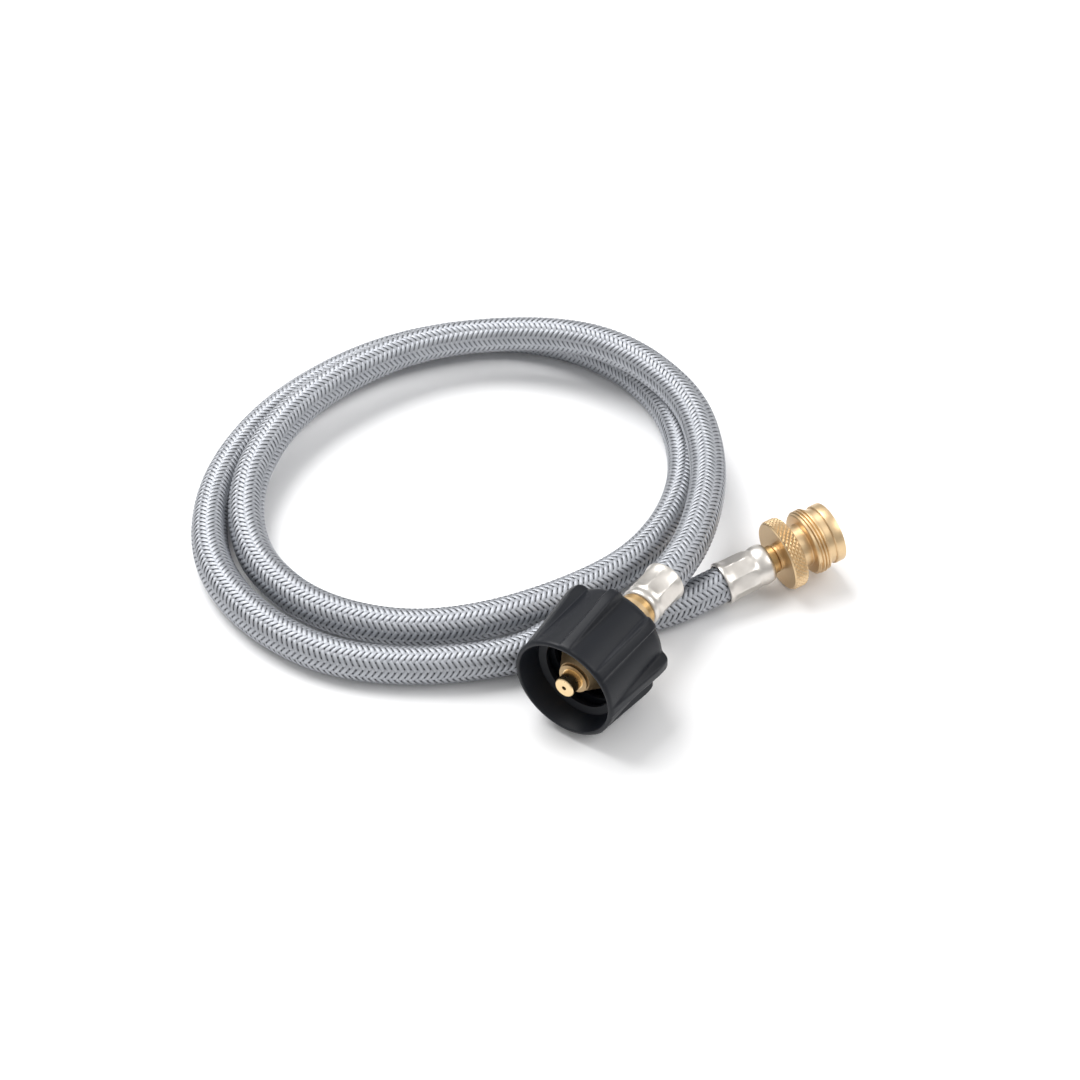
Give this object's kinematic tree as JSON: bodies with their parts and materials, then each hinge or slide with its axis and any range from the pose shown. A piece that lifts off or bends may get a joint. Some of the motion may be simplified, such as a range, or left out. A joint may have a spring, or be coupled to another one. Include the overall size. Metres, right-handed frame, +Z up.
{
  "type": "propane adapter hose",
  "caption": "Steel-braided propane hose lying in loose turns, with a winged handwheel tank connector at one end and a knurled brass male-thread adapter at the other.",
  "frame": {"origin": "on the floor, under the middle of the box round the two end fittings, hose left out", "axes": "+Z up; -Y along the tank connector's axis, out of the handwheel's mouth; the coil lies on the -X side"},
  "size_m": [0.2409, 0.2158, 0.0464],
  "materials": {
    "wheel_plastic": "matte moulded",
    "bushing_plastic": "matte",
    "brass": "machined",
    "bright_brass": "machined bright",
    "spring_steel": "drawn wire",
    "ferrule_steel": "satin plated",
    "braid_steel": "woven wire",
    "rubber": "matte"
  },
  "bodies": {
    "root": {"tank_nipple": "brass", "nipple_nose": "bright_brass", "spring_retainer": "brass", "excess_flow_spring": "spring_steel", "retaining_ring": "spring_steel", "stop_washer": "brass", "tank_stem": "brass", "tank_ferrule": "ferrule_steel", "hose_braid": "braid_steel", "hose_liner": "rubber", "appliance_ferrule": "ferrule_steel", "appliance_stem": "brass", "swivel_ring": "spring_steel", "swivel_o_ring": "rubber"},
    "bushing": {"thermal_bushing": "bushing_plastic"},
    "wheel": {"handwheel": "wheel_plastic"},
    "poppet": {"excess_flow_poppet": "bright_brass"},
    "adapter": {"adapter_body": "bright_brass", "valve_body": "brass", "valve_spring": "spring_steel", "outlet_seal": "rubber"},
    "pin": {"valve_pin": "bright_brass"}
  },
  "joints": [
    {"name": "wheel_float", "type": "slide", "parent": "root", "child": "bushing", "axis": [0, 1, 0], "range_m": [0, 0.002]},
    {"name": "wheel_turn", "type": "hinge", "parent": "bushing", "child": "wheel", "pos_m": [-0.00993, -0.03719, 0.0232], "axis": [0, -1, 0], "continuous": true},
    {"name": "poppet_travel", "type": "slide", "parent": "root", "child": "poppet", "axis": [0, 1, 0], "range_m": [0, 0.0012], "stiffness_N_per_m": 200, "deforming": ["excess_flow_spring"]},
    {"name": "adapter_swivel", "type": "hinge", "parent": "root", "child": "adapter", "pos_m": [0.01351, 0.04396, 0.01434], "axis": [0.4673, 0.8701, 0.157], "continuous": true},
    {"name": "valve_press", "type": "slide", "parent": "adapter", "child": "pin", "axis": [-0.4673, -0.8701, -0.157], "range_m": [0, 0.0015], "stiffness_N_per_m": 700, "deforming": ["valve_spring"]}
  ]
}
